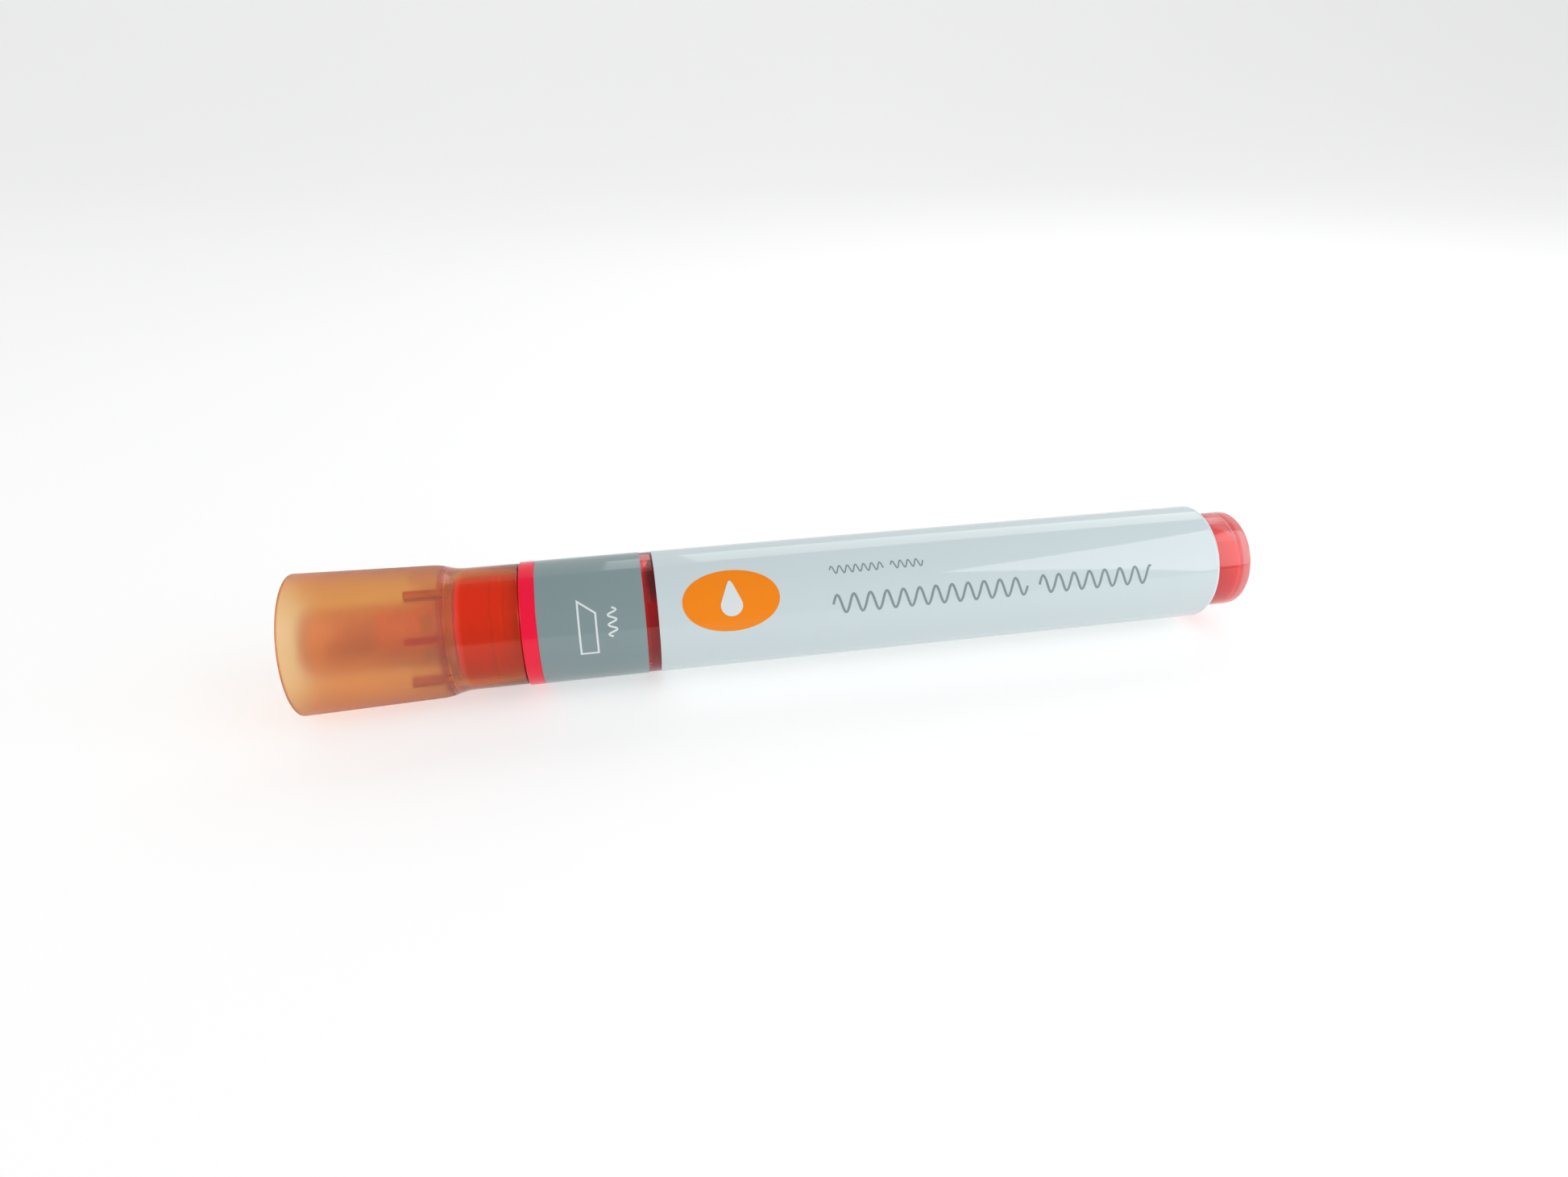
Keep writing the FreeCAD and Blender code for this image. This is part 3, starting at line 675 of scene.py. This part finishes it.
# a felt rod cut to a slanted writing edge, its cut edges slightly rounded
def makeNib():
    s = nibSettings
    front, back = station("nib", 0), station("nib", 1)
    nibR = roundness("nib")
    rod = [(front, 0, 0), (front, nibR, 0), (back, nibR, s["rearRound"]), (back, 0, 0)]
    bm = spinProfile(rod, closed=False, steps=s["steps"])
    low = -nibR + s["edge"]
    cuts = [
        (low, s["run"], 2 * nibR - low, 1),
        (low - s["edge"] / 2, s["back"], -2 * nibR - low + s["edge"] / 2, -1),
    ]
    for height, run, rise, side in cuts:
        spot = Vector((barrelFront + front * mm, 0, axisHeight + height * mm))
        cutAway(bm, spot, Vector((-rise, 0, run)).normalized() * side)
    bmesh.ops.remove_doubles(bm, verts=bm.verts, dist=2e-6)
    bmesh.ops.recalc_face_normals(bm, faces=bm.faces)
    roundOver = math.radians(s["roundOver"])
    keen = [e for e in bm.edges if len(e.link_faces) == 2 and e.calc_face_angle() > roundOver]
    bmesh.ops.bevel(bm, geom=keen, offset=s["round"] * mm, offset_type="OFFSET", segments=3,
                    profile=0.5, affect="EDGES", material=-1, clamp_overlap=True)
    asPiece(bm, "chiselNib", "pen", "felt", nibMaterial, "nib", sharp=s["sharp"])


makeSection()
makeHolder()
makeNib()
# these three keep their CAD shape
feedMaterials = {"wick": wickMaterial, "collector": collectorMaterial, "tank_seal": sealMaterial}
for node, material in feedMaterials.items():
    nodes[node].data.materials.clear()
    nodes[node].data.materials.append(material)
print("front section, holder, nib and feed made")


capSettings = {"skirtWall": 1.0, "skirtR": 9.0, "sleeveR": 7.3, "sleeveOutR": 8.32, "shoulderFront": 1.0,
               "shoulderRun": 2.5, "skirtLength": 19.77, "blend": 0.8, "mouthRound": 0.3,
               "insideRound": 0.3, "sleeveInRound": 0.08, "sleeveOutRound": 0.2, "ribCount": 8,
               "ribLength": 4.8, "ribWidth": 0.9, "ribInnerR": 7.2, "ribTurn": 22.5}


def makeCapShell():
    s = capSettings
    front, back = station("cap_shell", 0), station("cap_shell", 1)
    mouthR = axisHeight / mm
    seat = front + s["skirtLength"]
    shoulder = seat - s["shoulderFront"]
    bm = spinProfile([
        (front, mouthR - s["skirtWall"], s["mouthRound"]),
        (shoulder, s["skirtR"] - s["skirtWall"], s["insideRound"]),
        (seat, s["sleeveR"], softEdge),
        (back, s["sleeveR"], s["sleeveInRound"]),
        (back, s["sleeveOutR"], s["sleeveOutRound"]),
        (shoulder + s["shoulderRun"], s["sleeveOutR"], s["blend"]),
        (shoulder, s["skirtR"], s["blend"]),
        (front, mouthR, s["mouthRound"]),
    ])
    outerEnd = s["skirtR"] - s["skirtWall"] / 2
    ribCentre = (seat - s["ribLength"] / 2, (s["ribInnerR"] + outerEnd) / 2)
    ribSize = (s["ribLength"], s["ribWidth"], outerEnd - s["ribInnerR"])
    ribs = ringOfBlocks(ribCentre, ribSize, s["ribCount"], s["ribTurn"])
    bm = combine(bm, ribs, "UNION")
    asPiece(bm, "capShell", "cap", "cap_orange", capMaterial, "cap_shell")


innerSettings = {"end": 1.0, "tubeR": 3.75, "mouthR": 4.15, "wall": 0.7, "stepStart": 12.6,
                 "stepEnd": 13.1, "web": 1.0, "endRound": 1.3, "endInRound": 0.6, "stepRound": 0.2,
                 "webRound": 0.3}


def makeInnerCap():
    s = innerSettings
    front, back = station("inner_cap", 0), station("inner_cap", 1)
    webR = roundness("inner_cap")
    stepStart, stepEnd = front + s["stepStart"], front + s["stepEnd"]
    bm = spinProfile([
        (front + s["end"], 0, 0),
        (front + s["end"], s["tubeR"], s["endInRound"]),
        (stepStart, s["tubeR"], s["stepRound"]),
        (stepEnd, s["mouthR"], s["stepRound"]),
        (back, s["mouthR"], softEdge),
        (back, webR, softEdge),
        (back - s["web"], webR, softEdge),
        (back - s["web"], s["mouthR"] + s["wall"], s["webRound"]),
        (stepEnd, s["mouthR"] + s["wall"], s["stepRound"]),
        (stepStart, s["tubeR"] + s["wall"], s["stepRound"]),
        (front, s["tubeR"] + s["wall"], s["endRound"]),
        (front, 0, 0),
    ], closed=False)
    asPiece(bm, "innerCap", "cap", "inner_orange", innerMaterial, "inner_cap")


makeCapShell()
makeInnerCap()
print("cap made")


# flat shapes are drawn with x along the pen and y up its side, in mm, then laid round the film
printSettings = {"lift": 0.004, "thick": 0.012, "aim": 29.5, "sliceEvery": 0.35}


# cuts a flat shape into narrow bands, so that it can bend round the pen
def sliceAcross(bm):
    low = min(v.co.y for v in bm.verts)
    high = max(v.co.y for v in bm.verts)
    slices = int((high - low) / printSettings["sliceEvery"]) + 1
    for number in range(1, slices):
        y = low + (high - low) * number / slices
        bmesh.ops.bisect_plane(bm, geom=everything(bm), plane_co=(0, y, 0), plane_no=(0, 1, 0))
    return bm


# centreAngle is in degrees, up from the line that faces the camera
def layOnFilm(bm, centreAngle, onTop=0.0, thick=printSettings["thick"]):
    s = printSettings
    radius = penR + s["lift"] + onTop
    for vert in bm.verts:
        angle = math.radians(centreAngle + s["aim"]) + vert.co.y / radius
        vert.co = Vector((barrelFront + vert.co.x * mm, -math.cos(angle) * radius * mm,
                          axisHeight + math.sin(angle) * radius * mm))
    made = bmesh.ops.extrude_face_region(bm, geom=bm.faces[:], use_keep_orig=True)["geom"]
    grow = 1 + thick / radius
    bmesh.ops.scale(bm, vec=(1, grow, grow), space=Matrix.Translation((0, 0, -axisHeight)),
                    verts=onlyVerts(made))
    bmesh.ops.recalc_face_normals(bm, faces=bm.faces)
    return bm


# a flat rectangle in the middle of the film's side, cut into steps along and across
def addRectangle(bm, x, length, width, alongSteps=1, acrossSteps=1):
    made = bmesh.ops.create_grid(bm, x_segments=alongSteps, y_segments=acrossSteps, size=0.5)["verts"]
    bmesh.ops.scale(bm, vec=(length, width, 1), verts=made)
    bmesh.ops.translate(bm, vec=(x, 0, 0), verts=made)
    return made


badgeSettings = {"x": 25.6, "angle": 3.5, "long": 13.2, "tall": 8.6, "dropR": 1.5, "dropTip": 3.4,
                 "dropDown": 0.7, "narrow": 0.35, "onTop": 0.02, "ovalSteps": 96, "dropSteps": 48}


def discAt(bm, x, y, radius, segments):
    made = bmesh.ops.create_circle(bm, cap_ends=True, radius=radius, segments=segments)["verts"]
    bmesh.ops.translate(bm, vec=(x, y, 0), verts=made)
    return made


def makeBadge():
    s = badgeSettings
    bm = bmesh.new()
    oval = discAt(bm, 0, 0, 0.5, s["ovalSteps"])
    bmesh.ops.scale(bm, vec=(s["long"], s["tall"], 1), verts=oval)
    bmesh.ops.translate(bm, vec=(s["x"], 0, 0), verts=oval)
    asPiece(layOnFilm(sliceAcross(bm), s["angle"]), "badgeOval", "pen", "label_film", orangePrint)
    bm = bmesh.new()
    drop = discAt(bm, s["x"], -s["dropDown"], s["dropR"], s["dropSteps"])
    for vert in drop:  # the upper half is drawn up to a point
        rise = (vert.co.y + s["dropDown"]) / s["dropR"]
        if rise > 0:
            vert.co.y += (s["dropTip"] - s["dropR"]) * rise ** 3
            vert.co.x = s["x"] + (vert.co.x - s["x"]) * (1 - s["narrow"] * rise ** 2)
    bm = layOnFilm(sliceAcross(bm), s["angle"], s["onTop"])
    asPiece(bm, "badgeDrop", "pen", "label_film", whitePrint)


# each row is written as a few runs of the same wave, with a gap after each
rowSettings = {
    "smallRow": {"from": 39.5, "runs": (7.6, 4.7), "gap": 1.1, "angle": 23.0, "width": 0.2,
                 "swing": 0.55, "wave": 1.15},
    "largeRow": {"from": 39.5, "runs": (28.2, 17.2), "gap": 1.8, "angle": -9.5, "width": 0.34,
                 "swing": 1.25, "wave": 2.35},
}
stepsPerWave = 20


# a wavy sample stroke, as a marker leaves it on a board
def addStroke(bm, start, length, s):
    steps = int(length / s["wave"] * stepsPerWave)
    for vert in addRectangle(bm, start + length / 2, length, s["width"], steps):
        phase = math.tau * (vert.co.x - start) / s["wave"]
        slope = math.tau * s["swing"] / s["wave"] * math.cos(phase)
        across = Vector((-slope, 1)).normalized() * vert.co.y
        vert.co.x += across.x
        vert.co.y = across.y + s["swing"] * math.sin(phase)


def makeRow(name, s):
    bm = bmesh.new()
    start = s["from"]
    for length in s["runs"]:
        addStroke(bm, start, length, s)
        start += length + s["gap"]
    asPiece(layOnFilm(bm, s["angle"]), name, "pen", "label_film", greyPrint)


# the band's pictogram, read across the pen: the outline of a chisel nib, and the stroke it draws
tipSettings = {"x": 6.45, "angle": -9.0, "wide": 2.5, "long": 7.6, "slant": 1.9, "line": 0.26,
               "strokeX": 9.7, "strokeAngle": -6.0, "strokeLong": 3.9,
               "stroke": {"width": 0.26, "swing": 0.55, "wave": 1.3}}


def makeTipMark():
    s = tipSettings
    bm = bmesh.new()
    for vert in addRectangle(bm, s["x"], s["wide"], s["long"]):
        if vert.co.y > 0 and vert.co.x > s["x"]:
            vert.co.y -= s["slant"]
    middle = bm.faces[:]
    bmesh.ops.inset_individual(bm, faces=middle, thickness=s["line"], use_even_offset=True)
    bmesh.ops.delete(bm, geom=middle, context="FACES_ONLY")
    asPiece(layOnFilm(sliceAcross(bm), s["angle"]), "tipOutline", "pen", "band_film", whitePrint)
    bm = bmesh.new()
    addStroke(bm, -s["strokeLong"] / 2, s["strokeLong"], s["stroke"])
    acrossPen = Matrix.Rotation(math.pi / 2, 3, "Z")
    bmesh.ops.rotate(bm, cent=(0, 0, 0), matrix=acrossPen, verts=bm.verts)
    bmesh.ops.translate(bm, vec=(s["strokeX"], 0, 0), verts=bm.verts)
    asPiece(layOnFilm(bm, s["strokeAngle"]), "tipStroke", "pen", "band_film", whitePrint)


# where each film's end laps over its start, at the back
seamSettings = {
    "bandSeam": {"node": "band_label", "material": bandMaterial, "slot": "band_film"},
    "labelSeam": {"node": "main_label", "material": labelMaterial, "slot": "label_film"},
}
lapSettings = {"angle": 172.0, "width": 3.2, "thick": 0.03, "endGap": 0.95, "steps": 8}


def makeSeam(name, s):
    front, back = station(s["node"], 0), station(s["node"], 1)
    back = min(back, station("barrel", 1) - lapSettings["endGap"])
    bm = bmesh.new()
    middle = (front + back) / 2
    addRectangle(bm, middle, back - front, lapSettings["width"], acrossSteps=lapSettings["steps"])
    bm = layOnFilm(bm, lapSettings["angle"], thick=lapSettings["thick"])
    asPiece(bm, name, "pen", s["slot"], s["material"])


makeBadge()
for rowName, row in rowSettings.items():
    makeRow(rowName, row)
makeTipMark()
for seamName, seam in seamSettings.items():
    makeSeam(seamName, seam)
print("prints made")


studio = {
    "front": -1.3, "back": 0.9, "bend": 0.4, "bendSteps": 16, "top": 1.5, "halfWidth": 2.0,
    "surface": {
        "colour": (0.5, 0.5, 0.5), "drift": (0.49, 0.49, 0.49), "smooth": 0.6, "rough": 0.7,
        "scuffs": 0.0, "driftScale": 4.0, "grainScale": 900.0, "bump": 0.02,
    },
    "glow": 0.49, "seenGlow": 0.07,
    "world": (0.30, 0.305, 0.31),
    # place, aim and size in metres, power in watts
    "boxes": [
        {"name": "stripBox", "at": (0.172, 0.29, 0.285), "to": (0.172, 0, 0.0095),
         "size": (0.38, 0.2), "power": 0.31},
        {"name": "leftBox", "at": (-0.43, -0.24, 0.35), "to": (0, 0, 0),
         "size": (0.35, 0.35), "power": 0.92},
        {"name": "rightBox", "at": (0.42, -0.22, 0.27), "to": (0.02, 0, 0),
         "size": (0.5, 0.5), "power": 2.0},
    ],
}


# a pale sheet that bends up behind the pen, lit a little from within and more so to the camera
def makeBackdrop():
    s = studio
    bm = bmesh.new()
    corner = [(s["front"], 0), (s["back"], 0), (s["back"], s["top"])]
    verts = [bm.verts.new((-s["halfWidth"], y, z)) for y, z in corner]
    for pair in zip(verts, verts[1:]):
        bm.edges.new(pair)
    bmesh.ops.bevel(bm, geom=[verts[1]], offset=s["bend"], offset_type="OFFSET",
                    segments=s["bendSteps"], profile=0.5, affect="VERTICES", material=-1)
    made = bmesh.ops.extrude_edge_only(bm, edges=bm.edges[:])["geom"]
    bmesh.ops.translate(bm, vec=(2 * s["halfWidth"], 0, 0), verts=onlyVerts(made))
    bmesh.ops.recalc_face_normals(bm, faces=bm.faces)
    material = plastic("paleSheet", s["surface"])
    shader = material.node_tree.nodes["Principled BSDF"]
    shader.inputs["Emission Color"].default_value = (1, 1, 1, 1)
    path = addNode(material.node_tree, "ShaderNodeLightPath")
    seen = addMath(material.node_tree, "MULTIPLY", path.outputs["Is Camera Ray"], s["seenGlow"])
    glow = addMath(material.node_tree, "ADD", seen, s["glow"])
    material.node_tree.links.new(glow, shader.inputs["Emission Strength"])
    backdrop = asObject(bm, "backdrop", material)


def makeSoftbox(box):
    light = bpy.data.lights.new(box["name"], "AREA")
    light.shape = "RECTANGLE"
    light.size, light.size_y = box["size"]
    light.energy = box["power"]
    lamp = bpy.data.objects.new(box["name"], light)
    scene.collection.objects.link(lamp)
    lamp.location = box["at"]
    lamp.rotation_euler = (Vector(box["to"]) - Vector(box["at"])).to_track_quat("-Z", "Y").to_euler()


def makeWorld():
    world = bpy.data.worlds.new("studio")
    world.use_nodes = True
    background = world.node_tree.nodes["Background"]
    background.inputs["Color"].default_value = (*studio["world"], 1)
    background.inputs["Strength"].default_value = 1.0
    scene.world = world


# place and distance in mm, height, heading and down in degrees, nearest and furthest in metres
cameraSettings = {"place": 10.37, "distance": 139.78, "height": 29.52, "heading": 11.07, "down": 28.46,
                  "lens": 22.61, "sensor": 36, "nearest": 0.005, "furthest": 20}


def makeCamera():
    s = cameraSettings
    camera = bpy.data.objects.new("camera", bpy.data.cameras.new("camera"))
    scene.collection.objects.link(camera)
    rise = math.radians(s["height"])
    camera.location = (barrelFront + s["place"] * mm, -s["distance"] * mm * math.cos(rise),
                       axisHeight + s["distance"] * mm * math.sin(rise))
    camera.rotation_euler = (math.radians(90 - s["down"]), 0, -math.radians(s["heading"]))
    camera.data.lens = s["lens"]
    camera.data.sensor_width = s["sensor"]
    camera.data.clip_start = s["nearest"]
    camera.data.clip_end = s["furthest"]
    scene.camera = camera


makeBackdrop()
for softbox in studio["boxes"]:
    makeSoftbox(softbox)
makeWorld()
makeCamera()
scene.view_settings.view_transform = "Standard"
print("studio made")
